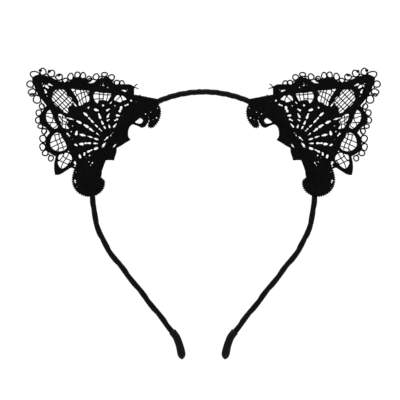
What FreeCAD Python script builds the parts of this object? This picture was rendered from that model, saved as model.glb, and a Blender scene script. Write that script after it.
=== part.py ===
"""Lace cat-ear headband: a ribbon-wrapped spring-wire band with two wired lace ears.

Frame, in millimetres: the band lies in the XZ plane. The origin is on the head side of the
band's crown, where it rests on the top of the head. +X is towards the wearer's left, -Y is the
front of the ears and +Z is up. Every part of the right-hand half (X > 0) is mirrored in the plane
X = 0 to make the other half.
"""

import FreeCAD, Part

import math
import os

# ---- driving dimensions, in millimetres and degrees -------------------------------------------
WIRE_R = 0.9            # spring-steel wire of the band
WRAP_R = 1.33           # the same wire with its satin ribbon wound on

CROWN_R = 64.2          # band centreline: the arc over the head
CROWN_END = 60.5        # heading at the crown arc's end (0 = along +X, 90 = straight down)
SIDE_R = 55.5           # the arc beside the head
SIDE_END = 128.2        # heading at its end, which is the straight arm's heading
ARM_LENGTH = 56.4       # straight arm
KNEE_R, KNEE_TURN = 8.9, 15.0    # the short outward bend where the tip begins
TIP_R, TIP_TURN = 37.0, 16.0     # the gentle outward curve inside the tip cap

UPPER_CUT = 17.2        # heading where the crown gives way to the shoulder
LOWER_CUT = 95.0        # heading where the shoulder gives way to the arm

CAP_R = 2.05            # rubber tip cap
CAP_ON_ARM = 2.8        # how far the cap reaches up the straight arm
WRAP_TURN_IN_CAP = 10.0  # the wire and ribbon stop after this much of the tip's curve

FRAME_R = 0.7           # ear frame wire
FRAME_WRAP_R = 1.0      # the same wire with its thread wound on
APEX = (95.4, 8.8)      # corner of the ear frame at the ear's tip
UPPER_FOOT, UPPER_FOOT_HALF = 30.0, 5.0  # heading at the upper foot's middle, and half its length
LOWER_FOOT, LOWER_FOOT_HALF = 86.5, 3.0  # the same for the lower foot
UPPER_BEND_R, APEX_BEND_R, LOWER_BEND_R = 1.0, 2.2, 3.0  # the upper foot is folded back under its leg
UPPER_LASHING, LOWER_LASHING = 31.0, 86.5  # headings at the middle of the thread round each foot
BARE_LEG = 3.5          # bare wire between a foot's corner and the start of the thread winding
LASHING = 0.25          # thickness of the thread lashed round each foot and the band
LASHING_HALF = 2.5      # half its length along the band

LACE_FRONT, LACE_BACK = -2.6, -1.6   # Y of the lace panel's two faces, in front of the band
NET_FRONT, NET_BACK = -2.3, -1.9     # Y of the thinner net in the panel's windows
FOLD_FRONT, FOLD_BACK = 1.4, 2.0     # Y of the lace margin folded to the back of the band
FOLD_INSIDE, FOLD_OUTSIDE = 2.6, 3.2  # how far that margin reaches each side of the centreline
FOLD_START, FOLD_END = 35.0, 81.0    # headings between which the margin runs

FAN_FOCUS = (58.0, -26.5)
FAN_R = 20.5            # the fan's edge; beyond it is the scalloped border

UPPER_ROSETTE = (31.6, -12.2, 7.0, 11)   # centre x, centre z, radius, number of lobes
LOWER_ROSETTE = (66.0, -49.6, 9.0, 13)
LOBE = 0.55             # how far a rosette's lobes stand out

PICOT_R, PICOT_THREAD_R = 1.4, 0.22
PICOT_PITCH = 4.3       # spacing of the picot loops along the ear's scalloped edge
PICOT_ROOT = 0.25       # how far each loop is sunk into that edge
STITCH_R, STITCH_THREAD_R = 2.9, 0.2
STITCH_HEADINGS = [37.0 + 6.0 * k for k in range(8)]


# ---- small helpers ----------------------------------------------------------------------------
def at(x, z, y=0.0):
    return FreeCAD.Vector(x, y, z)


def heading(degrees):
    """The direction of travel at a heading."""
    turn = math.radians(degrees)
    return at(math.cos(turn), -math.sin(turn))


def outward(degrees):
    """The direction away from the head at a heading."""
    turn = math.radians(degrees)
    return at(math.sin(turn), math.cos(turn))


def through(*steps):
    """Edges through the steps: a point is reached by a line, a pair of points by an arc."""
    edges = []
    here = steps[0]
    for step in steps[1:]:
        if isinstance(step[0], tuple):
            middle, there = step
            edges.append(Part.Arc(at(*here), at(*middle), at(*there)).toShape())
        else:
            there = step
            edges.append(Part.LineSegment(at(*here), at(*there)).toShape())
        here = there
    return edges


def plate(edges, front, back):
    """A flat plate with this outline in XZ, between two Y positions."""
    face = Part.Face(Part.Wire(edges))
    face.translate(FreeCAD.Vector(0, front, 0))
    return face.extrude(FreeCAD.Vector(0, back - front, 0))


def window(points, front, back):
    """A plate whose outline is a smooth closed curve through the points."""
    curve = Part.BSplineCurve()
    curve.interpolate([at(*p) for p in points], PeriodicFlag=True)
    return plate([curve.toShape()], front, back)


def rod(path, radius):
    """A round rod that follows a wire."""
    start = path.Edges[0]
    first = start.valueAt(start.FirstParameter)
    along = start.tangentAt(start.FirstParameter)
    ring = Part.Wire([Part.Circle(first, along, radius).toShape()])
    return path.makePipeShell([ring], True, False)


def rounded(points, radii):
    """A wire of straight runs whose inner corners are rounded."""
    points = [at(*p) for p in points]
    edges, here = [], points[0]
    for before, corner, after, radius in zip(points, points[1:], points[2:], radii):
        back = (before - corner).normalize()
        on = (after - corner).normalize()
        half = back.getAngle(on) / 2
        reach = radius / math.tan(half)
        middle = (back + on).normalize() * (radius / math.sin(half) - radius)
        start, end = corner + back * reach, corner + on * reach
        edges.append(Part.LineSegment(here, start).toShape())
        edges.append(Part.Arc(start, corner + middle, end).toShape())
        here = end
    edges.append(Part.LineSegment(here, points[-1]).toShape())
    return Part.Wire(edges)


# ---- the band's centreline --------------------------------------------------------------------
CROWN_CENTRE = at(0, WRAP_R - CROWN_R)
SIDE_CENTRE = CROWN_CENTRE + outward(CROWN_END) * (CROWN_R - SIDE_R)


def on_band(degrees, offset=0.0):
    """The point of the band's arcs at a heading, moved outward by the offset."""
    if degrees <= CROWN_END:
        return CROWN_CENTRE + outward(degrees) * (CROWN_R + offset)
    return SIDE_CENTRE + outward(degrees) * (SIDE_R + offset)


def band_arc(start, end, offset=0.0):
    """The arc edges between two headings."""
    edges = []
    cuts = [start, end] if not start < CROWN_END < end else [start, CROWN_END, end]
    for a, b in zip(cuts, cuts[1:]):
        first, middle, last = (on_band(h, offset) for h in (a, (a + b) / 2, b))
        edges.append(Part.Arc(first, middle, last).toShape())
    return edges


ARM_TOP = on_band(SIDE_END)
ARM_FOOT = ARM_TOP + heading(SIDE_END) * ARM_LENGTH


def outward_bend(start, from_heading, radius, turn):
    """An arc that turns away from the head, and its end point."""
    centre = start + outward(from_heading) * radius
    middle = centre - outward(from_heading - turn / 2) * radius
    end = centre - outward(from_heading - turn) * radius
    return Part.Arc(start, middle, end).toShape(), end


KNEE, KNEE_FOOT = outward_bend(ARM_FOOT, SIDE_END, KNEE_R, KNEE_TURN)


def tip_curve(turn):
    return outward_bend(KNEE_FOOT, SIDE_END - KNEE_TURN, TIP_R, turn)


def arm_path():
    curve, _ = tip_curve(WRAP_TURN_IN_CAP)
    straight = Part.LineSegment(ARM_TOP, ARM_FOOT).toShape()
    return Part.Wire(band_arc(LOWER_CUT, SIDE_END) + [straight, KNEE, curve])


def crown_path():
    middle = on_band(0)
    first, last = on_band(-UPPER_CUT), on_band(UPPER_CUT)
    return Part.Wire([Part.Arc(first, middle, last).toShape()])


def shoulder_path():
    return Part.Wire(band_arc(UPPER_CUT, LOWER_CUT))


# ---- band parts -------------------------------------------------------------------------------
def wrapped(path):
    """The steel wire and the ribbon wound on it, for one stretch of the band."""
    wire = rod(path, WIRE_R)
    return wire, rod(path, WRAP_R).cut(wire)


def tip_cap():
    curve, end = tip_curve(TIP_TURN)
    top = ARM_FOOT - heading(SIDE_END) * CAP_ON_ARM
    lead = Part.LineSegment(top, ARM_FOOT).toShape()
    skin = rod(Part.Wire([lead, KNEE, curve]), CAP_R)
    skin = skin.fuse(Part.makeSphere(CAP_R, end))
    return skin.cut(rod(arm_path(), WRAP_R)).removeSplitter()


# ---- ear frame --------------------------------------------------------------------------------
def foot(degrees, half):
    """The upper and lower end of the straight foot that lies along the band."""
    middle = on_band(degrees, WRAP_R + FRAME_R)
    return middle - heading(degrees) * half, middle + heading(degrees) * half


UPPER_CORNER, UPPER_END = foot(UPPER_FOOT, UPPER_FOOT_HALF)
LOWER_CORNER, LOWER_END = foot(LOWER_FOOT, LOWER_FOOT_HALF)


def flat(point):
    return point.x, point.z


def frame_wire():
    points = [flat(UPPER_END), flat(UPPER_CORNER), APEX, flat(LOWER_CORNER), flat(LOWER_END)]
    return rod(rounded(points, [UPPER_BEND_R, APEX_BEND_R, LOWER_BEND_R]), FRAME_R)


def frame_winding(wire):
    apex = at(*APEX)
    ends = [c + (apex - c).normalize() * BARE_LEG for c in (UPPER_CORNER, LOWER_CORNER)]
    path = rounded([flat(ends[0]), APEX, flat(ends[1])], [APEX_BEND_R])
    return rod(path, FRAME_WRAP_R).cut(wire)


def lashing(degrees, band, wire):
    """Thread wound round the band and a foot together: an oval sleeve."""
    along = heading(degrees)
    start = on_band(degrees) - along * LASHING_HALF
    gap = outward(degrees) * (WRAP_R + FRAME_R)
    round_band = Part.makeCylinder(WRAP_R + LASHING, 2 * LASHING_HALF, start, along)
    round_wire = Part.makeCylinder(FRAME_R + LASHING, 2 * LASHING_HALF, start + gap, along)
    side = FreeCAD.Vector(0, FRAME_R + LASHING, 0)
    corners = [start - side, start - side + gap, start + gap + side, start + side]
    web = Part.Face(Part.makePolygon(corners + corners[:1])).extrude(along * 2 * LASHING_HALF)
    return round_band.fuse([round_wire, web]).removeSplitter().cut([band, wire])


# ---- lace -------------------------------------------------------------------------------------
EAR_OUTLINE = [  # from the upper foot round the tip to the lower rosette, then up the head side
    (29.0, -4.0),
    (39.8, -0.9),
    (39.8, 3.8),
    (45.0, 5.2),
    (51.0, 5.0),
    ((57.2, 9.6), (63.5, 6.0)),
    ((71.2, 9.4), (78.5, 5.3)),
    ((86.5, 9.8), (95.2, 10.2)),
    ((98.0, 8.6), (96.6, 3.0)),
    ((94.6, -2.6), (90.0, -7.0)),
    ((93.6, -14.5), (88.5, -23.0)),
    ((90.5, -30.5), (84.5, -36.0)),
    ((85.8, -41.0), (84.8, -46.5)),
    ((79.6, -44.6), (74.0, -43.0)),
    (66.0, -48.0),
    (58.4, -47.0),
    ((57.9, -41.6), (54.0, -37.7)),
    (51.5, -38.0),
    ((50.0, -34.4), (49.8, -31.0)),
    (42.0, -26.2),
    ((43.4, -22.6), (41.5, -18.2)),
    (36.0, -16.5),
    (29.0, -4.0),
]
SCALLOPS = slice(3, 12)  # the part of that outline that carries picot loops

WINDOWS = [  # net-filled windows in the border, each a smooth closed curve
    [(44.0, -3.6), (47.4, -1.2), (51.0, -2.4), (48.0, -5.0)],
    [(52.6, -0.6), (57.5, 0.2), (62.4, 0.6), (61.4, -4.6), (56.8, -4.8)],
    [(65.2, 1.4), (71.0, 2.0), (76.4, 1.8), (72.6, -3.6), (68.6, -8.0), (65.4, -4.0)],
    [(80.4, 1.8), (85.0, 1.2), (86.6, -2.6), (83.6, -8.2), (79.6, -9.6), (76.4, -4.6)],
    [(86.0, 4.4), (91.4, 5.4), (90.4, 0.8)],
    [(83.4, -12.4), (82.4, -16.4), (80.2, -19.2), (79.3, -15.6)],
    [(87.8, -10.6), (89.4, -14.0), (86.4, -19.0), (84.0, -18.8), (86.0, -14.0)],
    [(83.4, -23.0), (87.1, -27.4), (83.6, -32.8), (79.3, -29.4), (80.0, -25.6)],
    [(77.2, -36.2), (80.6, -34.4), (83.0, -37.4), (82.0, -41.8), (78.0, -40.2)],
]


def rosette(x, z, radius, lobes, front=LACE_FRONT, back=LACE_BACK):
    """A round motif with a scalloped rim."""
    step = 360.0 / lobes
    centre = at(x, z)
    rim = [centre + outward(k * step) * radius for k in range(lobes + 1)]
    crest = [centre + outward((k + 0.5) * step) * (radius + LOBE) for k in range(lobes)]
    edges = [Part.Arc(a, c, b).toShape() for a, c, b in zip(rim, crest, rim[1:])]
    return plate(edges, front, back)


def teardrop():
    """A small pointed loop that hangs below the upper rosette, and the same without its hole."""
    outline = [(33.0, -17.4), ((36.0, -12.4), (41.4, -17.4)), ((37.6, -19.6), (33.0, -17.4))]
    hole = [(34.8, -15.6), (36.8, -14.0), (39.6, -16.2), (37.0, -17.2)]
    whole = plate(through(*outline), LACE_FRONT, LACE_BACK)
    return whole.cut(window(hole, LACE_FRONT, LACE_BACK)), whole


def picot_edging():
    """Thread loops sunk into the scalloped edge at an even pitch, one of them in each valley."""
    focus, loops = at(*FAN_FOCUS), []
    for edge in through(*EAR_OUTLINE[SCALLOPS]):
        count = round(edge.Length / PICOT_PITCH)
        for k in range(count):
            root = edge.valueAt(edge.getParameterByLength(edge.Length * k / count))
            centre = root + (root - focus).normalize() * (PICOT_R - PICOT_ROOT)
            centre.y = (LACE_FRONT + LACE_BACK) / 2
            loops.append(
                Part.makeTorus(PICOT_R, PICOT_THREAD_R, centre, FreeCAD.Vector(0, 1, 0)))
    return Part.makeCompound(loops)


def lace_parts():
    """The ear's lace, as pieces that meet edge to edge."""
    ear = plate(through(*EAR_OUTLINE), LACE_FRONT, LACE_BACK)
    upper = rosette(*UPPER_ROSETTE)
    lower = rosette(*LOWER_ROSETTE)
    drop, whole_drop = teardrop()
    drop = drop.cut(upper)
    ear = ear.cut([upper, lower, whole_drop])

    fan_disc = Part.makeCylinder(
        FAN_R, LACE_BACK - LACE_FRONT, at(*FAN_FOCUS, LACE_FRONT), FreeCAD.Vector(0, 1, 0))
    fan = ear.common(fan_disc)
    openings = [window(w, LACE_FRONT, LACE_BACK) for w in WINDOWS]
    border = ear.cut([fan_disc] + openings)
    net = [window(w, NET_FRONT, NET_BACK).cut(fan_disc) for w in WINDOWS]

    return {
        "lace_fan": fan,
        "lace_border": border,
        "lace_net": Part.makeCompound(net),
        "picot_edging": picot_edging(),
        "upper_rosette": upper,
        "lower_rosette": lower,
        "teardrop_loop": drop,
    }


def folded_margin():
    """The lace margin turned to the back of the band, a curved strip."""
    inner = band_arc(FOLD_START, FOLD_END, -FOLD_INSIDE)
    outer = band_arc(FOLD_START, FOLD_END, FOLD_OUTSIDE)
    ends = [
        Part.LineSegment(
            on_band(h, -FOLD_INSIDE), on_band(h, FOLD_OUTSIDE)).toShape()
        for h in (FOLD_START, FOLD_END)
    ]
    return plate(Part.__sortEdges__(inner + outer + ends), FOLD_FRONT, FOLD_BACK)


def stitches():
    """Loops of thread round the band that hold the lace and its folded margin."""
    return Part.makeCompound([
        Part.makeTorus(STITCH_R, STITCH_THREAD_R, on_band(h), heading(h))
        for h in STITCH_HEADINGS
    ])


# ---- assembly ---------------------------------------------------------------------------------
def right_half():
    shoulder_wire, shoulder_wrap = wrapped(shoulder_path())
    arm_wire, arm_wrap = wrapped(arm_path())
    ear_wire = frame_wire()
    band = rod(shoulder_path(), WRAP_R)
    parts = {
        "core_wire_shoulder": shoulder_wire,
        "ribbon_wrap_shoulder": shoulder_wrap,
        "core_wire_arm": arm_wire,
        "ribbon_wrap_arm": arm_wrap,
        "tip_cap": tip_cap(),
        "ear_frame_wire": ear_wire,
        "ear_frame_winding": frame_winding(ear_wire),
        "upper_lashing": lashing(UPPER_LASHING, band, ear_wire),
        "lower_lashing": lashing(LOWER_LASHING, band, ear_wire),
        "folded_margin": folded_margin(),
        "margin_stitches": stitches(),
    }
    parts.update(lace_parts())
    return parts


def main():
    os.makedirs("parts", exist_ok=True)
    crown_wire, crown_wrap = wrapped(crown_path())
    parts = {"core_wire_crown": crown_wire, "ribbon_wrap_crown": crown_wrap}
    for name, shape in right_half().items():
        parts[name + "_right"] = shape
        parts[name + "_left"] = shape.mirror(FreeCAD.Vector(0, 0, 0), FreeCAD.Vector(1, 0, 0))
    for name, shape in parts.items():
        if not shape.isValid() or not shape.Solids:
            raise ValueError(name + " is not a valid solid")
        shape.exportStep("parts/" + name + ".step")
        print(f"{name:30s} solids {len(shape.Solids):2d}  volume {shape.Volume:9.2f} mm3")
    for degrees, radius in ((UPPER_CUT, WRAP_R), (LOWER_CUT, WRAP_R)):
        pivot = on_band(degrees, radius)
        print(f"pivot at heading {degrees}: x {pivot.x:.3f}, z {pivot.z:.3f}")


main()
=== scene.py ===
import math
import random

import bmesh
import bpy
import numpy as np
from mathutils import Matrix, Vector


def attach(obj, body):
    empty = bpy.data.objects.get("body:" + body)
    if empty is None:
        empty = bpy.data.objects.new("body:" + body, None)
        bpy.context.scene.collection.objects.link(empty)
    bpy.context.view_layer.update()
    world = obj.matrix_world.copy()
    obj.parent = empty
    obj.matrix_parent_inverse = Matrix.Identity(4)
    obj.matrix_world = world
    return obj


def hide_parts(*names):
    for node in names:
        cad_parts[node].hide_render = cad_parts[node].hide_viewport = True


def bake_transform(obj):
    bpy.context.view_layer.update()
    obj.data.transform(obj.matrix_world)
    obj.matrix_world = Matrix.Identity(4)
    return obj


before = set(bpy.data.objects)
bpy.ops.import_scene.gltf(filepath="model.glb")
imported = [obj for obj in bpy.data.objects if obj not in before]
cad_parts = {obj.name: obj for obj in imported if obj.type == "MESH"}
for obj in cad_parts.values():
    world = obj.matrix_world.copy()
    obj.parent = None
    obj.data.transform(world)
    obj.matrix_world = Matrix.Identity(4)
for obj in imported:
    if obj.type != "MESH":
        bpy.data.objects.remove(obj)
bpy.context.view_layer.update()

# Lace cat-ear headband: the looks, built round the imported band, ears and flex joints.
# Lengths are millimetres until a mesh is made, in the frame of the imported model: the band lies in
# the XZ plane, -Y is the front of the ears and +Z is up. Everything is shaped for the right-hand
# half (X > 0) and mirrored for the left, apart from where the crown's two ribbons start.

MM = 0.001
TURN = 2 * math.pi

# ---- driving dimensions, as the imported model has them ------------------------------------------
WRAP_R = 1.33
CROWN_R, CROWN_END = 64.2, math.radians(60.5)
SIDE_R, SIDE_END = 55.5, math.radians(128.2)
ARM_LENGTH = 56.4
KNEE_R, KNEE_TURN = 8.9, math.radians(15.0)
TIP_R, TIP_TURN = 37.0, math.radians(16.0)
CAP_ON_ARM = 2.8         # how far up the arm a cap starts
UPPER_CUT, LOWER_CUT = math.radians(17.2), math.radians(95.0)
UPPER_FOOT, UPPER_FOOT_HALF = math.radians(30.0), 5.0
LOWER_FOOT, LOWER_FOOT_HALF = math.radians(86.5), 3.0
UPPER_LASHING, LOWER_LASHING = math.radians(31.0), math.radians(86.5)
FRAME_R, FRAME_WRAP_R = 0.7, 1.0
APEX = (95.4, 8.8)
BARE_LEG = 3.5
FAN_FOCUS = (57.5, -25.0)
LACE_Y = -2.1            # middle of the lace panel, in front of the band

# ---- finer dimensions of the looks --------------------------------------------------------------
CELL = 0.225             # spacing of the grid that the lace is meshed on
ROUND_EDGE = 0.45        # how far in from an edge the lace reaches its full thickness
FRONT_HALF, BACK_HALF = 0.30, 0.26   # plain thread fill, each side of the middle
RIPPLE = 0.28            # how far the lace waves where nothing holds it
THREAD_PITCH = 0.42      # width of one satin stitch
NET_R, NET_WEAVE = 0.31, 0.15        # net threads, and how far they pass over and under
PLY_R, PLY_OFFSET = 0.25, 0.21       # a picot thread's two plies
PICOT_BASE_R = 0.36      # the thread that joins the picots
EAR_SHIFT = (-0.3, 0.45)             # from the ear's own drawing to the band's frame
HOLE_EASE = 0.27         # thread that closes in round each eyelet
HOLE_VARIES = 0.15       # how unevenly it does so
BACK_RELIEF = 0.45       # how much of the relief in front also shows on the back
EDGE_CORD = (0.62, 0.26)             # half-width and height of the cord along the ear's outline
WINDOW_CORD, TEARDROP_CORD = (0.55, 0.30), (0.8, 0.36)      # the same round the openings
RIB_HEIGHT, CASING_HEIGHT = 0.42, 0.34
PICOT_LAY = 1.1          # length of one turn of a picot's two plies
NET_STEP = 0.3           # between points along a net thread
NET_RUN = 2.0            # from one crossing of net threads to the next
NET_REACH, NET_LINES = 15, 8         # how far a family of net threads runs, and how many each side
WAVE_SCALE = TURN / 20   # the scale at which Blender's wave texture repeats once a unit

BENDS = (  # length and curvature of each stretch of the band, from the middle of the crown
    (CROWN_R * CROWN_END, 1 / CROWN_R),
    (SIDE_R * (SIDE_END - CROWN_END), 1 / SIDE_R),
    (ARM_LENGTH, 0.0),
    (KNEE_R * KNEE_TURN, -1 / KNEE_R),
    (TIP_R * TIP_TURN, -1 / TIP_R),
)
BAND_END = sum(length for length, _ in BENDS)


# ---- curves ---------------------------------------------------------------------------------------
def band(s):
    """x, z and heading (clockwise from +X) of the band's centreline, s along it from the crown."""
    x, z, turn = 0.0, WRAP_R, 0.0
    for length, bend in BENDS:
        run = min(s, length)
        if bend:
            x += (math.sin(turn + bend * run) - math.sin(turn)) / bend
            z += (math.cos(turn + bend * run) - math.cos(turn)) / bend
        else:
            x += math.cos(turn) * run
            z -= math.sin(turn) * run
        turn += bend * run
        s -= run
        if s <= 0:
            return x, z, turn
    return x + math.cos(turn) * s, z - math.sin(turn) * s, turn


def band_at(heading):
    """How far along the band its arcs reach a heading."""
    return CROWN_R * min(heading, CROWN_END) + SIDE_R * max(heading - CROWN_END, 0.0)


def off_band(s, outward):
    """The point beside the band at s, moved away from the head."""
    x, z, turn = band(s)
    return x + math.sin(turn) * outward, z + math.cos(turn) * outward


def smooth(points, spacing):
    """Evenly spaced points on a smooth open curve through the given ones."""
    p = np.array(points, float)
    runs = np.diff(p, axis=0)
    gap = np.hypot(*runs.T)
    slope = runs / gap[:, None]
    if len(p) == 2:
        tangent = np.vstack([slope, slope])
    else:
        share = (gap[1:] / (gap[:-1] + gap[1:]))[:, None]
        inner = slope[:-1] * share + slope[1:] * (1 - share)
        first, last = 1.5 * slope[0] - 0.5 * inner[0], 1.5 * slope[-1] - 0.5 * inner[-1]
        tangent = np.vstack([first, inner, last])
    out = []
    for a, b, ta, tb, g in zip(p, p[1:], tangent, tangent[1:], gap):
        t = np.arange(max(1, round(g / spacing)))[:, None] / max(1, round(g / spacing))
        out.append(a * (2 * t**3 - 3 * t**2 + 1) + b * (3 * t**2 - 2 * t**3)
                   + g * (ta * (t**3 - 2 * t**2 + t) + tb * (t**3 - t**2)))
    return np.vstack(out + [p[-1:]])


def smooth_loop(points, spacing):
    """The same for a closed curve; the last point repeats the first."""
    wrapped = list(points[-3:]) + list(points) + list(points[:4])
    curve = smooth(wrapped, spacing)
    first = np.argmin(np.hypot(*(curve - np.array(points[0])).T))
    past = curve[first + 3:]
    last = first + 3 + np.argmin(np.hypot(*(past - np.array(points[0])).T))
    return np.vstack([curve[first:last], curve[first:first + 1]])


def serrated(curve, depth, pitch):
    """A curve with small rounded teeth along it."""
    run = np.append(0, np.cumsum(np.hypot(*np.diff(curve, axis=0).T)))
    pitch = run[-1] / max(1, round(run[-1] / pitch))
    fine = np.arange(0, run[-1], 0.2)
    p = np.stack([np.interp(fine, run, curve[:, k]) for k in (0, 1)], axis=1)
    along = np.gradient(p, axis=0)
    along /= np.hypot(*along.T)[:, None]
    away = np.stack([-along[:, 1], along[:, 0]], axis=1)
    tooth = np.abs(np.sin(math.pi * fine / pitch)) - 0.5
    return np.vstack([p + away * (depth * tooth)[:, None], curve[-1:]])


def nearest(x, z, path):
    """Distance from each place to a path of straight runs, and how far along the path that is."""
    best, along, run = np.full(np.shape(x), np.inf), np.zeros(np.shape(x)), 0.0
    for (ax, az), (bx, bz) in zip(path, path[1:]):
        dx, dz = bx - ax, bz - az
        length = math.hypot(dx, dz)
        if length == 0:
            continue
        t = np.clip(((x - ax) * dx + (z - az) * dz) / length**2, 0, 1)
        d = np.hypot(x - ax - t * dx, z - az - t * dz)
        closer = d < best
        best = np.where(closer, d, best)
        along = np.where(closer, run + t * length, along)
        run += length
    return best, along


def encloses(x, z, loop):
    """Whether each place is inside a closed path."""
    inside = np.zeros(np.shape(x), bool)
    for (ax, az), (bx, bz) in zip(loop, loop[1:]):
        if az != bz:
            crosses = (az > z) != (bz > z)
            inside ^= crosses & (x < (bx - ax) * (z - az) / (bz - az) + ax)
    return inside


def ease(t):
    """A smooth step from 0 to 1."""
    t = np.clip(t, 0, 1)
    return t * t * (3 - 2 * t)


# ---- the ear's frame ------------------------------------------------------------------------------
def foot_corner(heading, half):
    """Where the ear frame's wire leaves the band: the upper end of a foot."""
    x, z = off_band(band_at(heading), WRAP_R + FRAME_R)
    return x - math.cos(heading) * half, z + math.sin(heading) * half


UPPER_CORNER = foot_corner(UPPER_FOOT, UPPER_FOOT_HALF)
LOWER_CORNER = foot_corner(LOWER_FOOT, LOWER_FOOT_HALF)
FRAME_LINE = [UPPER_CORNER, APEX, LOWER_CORNER]
BAND_LINE = [band(s)[:2] for s in range(20, 96, 5)]


def lace_y(x, z):
    """Y of the middle of the lace: flat where it is sewn down, gently waved elsewhere."""
    to_band, _ = nearest(x, z, BAND_LINE)
    to_frame, _ = nearest(x, z, FRAME_LINE)
    free = ease((to_band - 2.0) / 9.0) * ease((to_frame - 0.5) / 7.0)
    wave = np.sin(0.23 * x + 0.11 * z) * np.cos(0.17 * z - 0.05 * x + 0.8)
    curl = np.sin(0.61 * x - 0.47 * z)
    return LACE_Y + free * RIPPLE * (1.2 * wave + 0.5 * curl)


def on_ear(x, z, forward):
    """Points of the ear's drawing as they hang in front of the band, moved forward of the lace."""
    x, z = x + EAR_SHIFT[0], z + EAR_SHIFT[1]
    return np.stack([x, lace_y(x, z) - forward, z], axis=-1)


# ---- meshes ---------------------------------------------------------------------------------------
class Shape:
    """A growing mesh. Each face corner has a place across and along the thread, in millimetres."""

    def __init__(self):
        self.verts, self.faces, self.corners, self.count = [], [], [], 0

    def add(self, verts, faces, corners):
        self.verts.append(np.asarray(verts, float))
        self.faces += [tuple(v + self.count for v in face) for face in faces]
        self.corners.append(np.asarray(corners, float))
        self.count += len(verts)

    def piece(self, name, side):
        """The mesh as a Blender object; side -1 mirrors it to the left-hand half."""
        verts = np.vstack(self.verts) * MM
        verts[:, 0] *= side
        mesh = bpy.data.meshes.new(name)
        mesh.from_pydata(verts.tolist(), [], self.faces)
        layer = mesh.uv_layers.new(name="thread")
        layer.data.foreach_set("uv", np.vstack(self.corners).ravel())
        shell = bmesh.new()
        shell.from_mesh(mesh)
        bmesh.ops.recalc_face_normals(shell, faces=shell.faces)
        shell.to_mesh(mesh)
        shell.free()
        mesh.polygons.foreach_set("use_smooth", [True] * len(mesh.polygons))
        made = bpy.data.objects.new(name, mesh)
        bpy.context.collection.objects.link(made)
        return made


def lattice(rows, cols, places):
    """Faces and corner places of a skin of rings; places has one more column than the rings."""
    i, j = np.meshgrid(np.arange(rows - 1), np.arange(cols), indexing="ij")
    k = (j + 1) % cols
    faces = np.stack([i * cols + j, i * cols + k, (i + 1) * cols + k, (i + 1) * cols + j], -1)
    corners = np.stack(
        [places[i, j], places[i, j + 1], places[i + 1, j + 1], places[i + 1, j]], axis=2)
    return [tuple(f) for f in faces.reshape(-1, 4).tolist()], corners.reshape(-1, 2)


def add_skin(shape, rings, places):
    """Adds rings of vertices, joined into a skin and closed at both ends."""
    rows, cols = rings.shape[:2]
    faces, corners = lattice(rows, cols, places)
    ends = [tuple(range(cols)), tuple(range((rows - 1) * cols, rows * cols))]
    end_places = np.vstack([places[0, :cols], places[-1, :cols]])
    shape.add(rings.reshape(-1, 3), faces + ends, np.vstack([corners, end_places]))


def add_tube(shape, path, radius, sides=8, closed=False):
    """Adds a round tube along a path of 3-D points; radius is a number or one for each point."""
    p = np.asarray(path, float)
    if closed:
        p = np.vstack([p, p[:1]])
    r = np.broadcast_to(radius, len(p)).astype(float)
    along = np.gradient(p, axis=0)
    if closed:
        along[0] = along[-1] = p[1] - p[-2]
    along /= np.linalg.norm(along, axis=1)[:, None]
    side = np.cross(along[0], (0.0, 1.0, 0.0))
    if np.linalg.norm(side) < 0.1:
        side = np.cross(along[0], (1.0, 0.0, 0.0))
    sides_at = []
    for direction in along:
        side = side - direction * side.dot(direction)
        side /= np.linalg.norm(side)
        sides_at.append(side)
    side = np.array(sides_at)
    up = np.cross(along, side)
    angle = np.arange(sides) / sides * TURN
    rings = p[:, None] + r[:, None, None] * (
        np.cos(angle)[None, :, None] * side[:, None] + np.sin(angle)[None, :, None] * up[:, None])
    run = np.append(0, np.cumsum(np.linalg.norm(np.diff(p, axis=0), axis=1)))
    round_it = np.arange(sides + 1) / sides * TURN * r.mean()
    places = np.stack(np.meshgrid(run, round_it, indexing="ij"), axis=-1)
    if not closed:
        add_skin(shape, rings, places)
        return
    faces, corners = lattice(len(p), sides, places)
    last = (len(p) - 1) * sides
    faces = [tuple(v - last if v >= last else v for v in face) for face in faces]
    shape.add(rings[:-1].reshape(-1, 3), faces, corners)


def add_twist(shape, centre, radii, tilt):
    """Adds a picot: a loop of two threads twisted round each other."""
    length = math.pi * (radii[0] + radii[1])
    turns = max(4, round(length / PICOT_LAY))
    count = turns * 9
    angle = np.arange(count) / count * TURN
    out = np.stack([np.cos(angle), 0 * angle, np.sin(angle)], axis=1)
    uneven = 1 + 0.06 * np.sin(2 * angle + 1.7 * centre[0]) + 0.04 * np.sin(3 * angle + 2.9 * centre[1])
    x, z = centre[0] + radii[0] * uneven * np.cos(angle), centre[1] + radii[1] * uneven * np.sin(angle)
    middle = on_ear(x, z, tilt * np.sin(angle + tilt * 9))
    for strand in (0.0, 0.5):
        phase = (np.arange(count) / count * turns + strand) * TURN
        offset = PLY_OFFSET * (np.cos(phase)[:, None] * out + np.sin(phase)[:, None] * np.array([0, 1, 0]))
        add_tube(shape, middle + offset, PLY_R, sides=7, closed=True)


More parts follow.
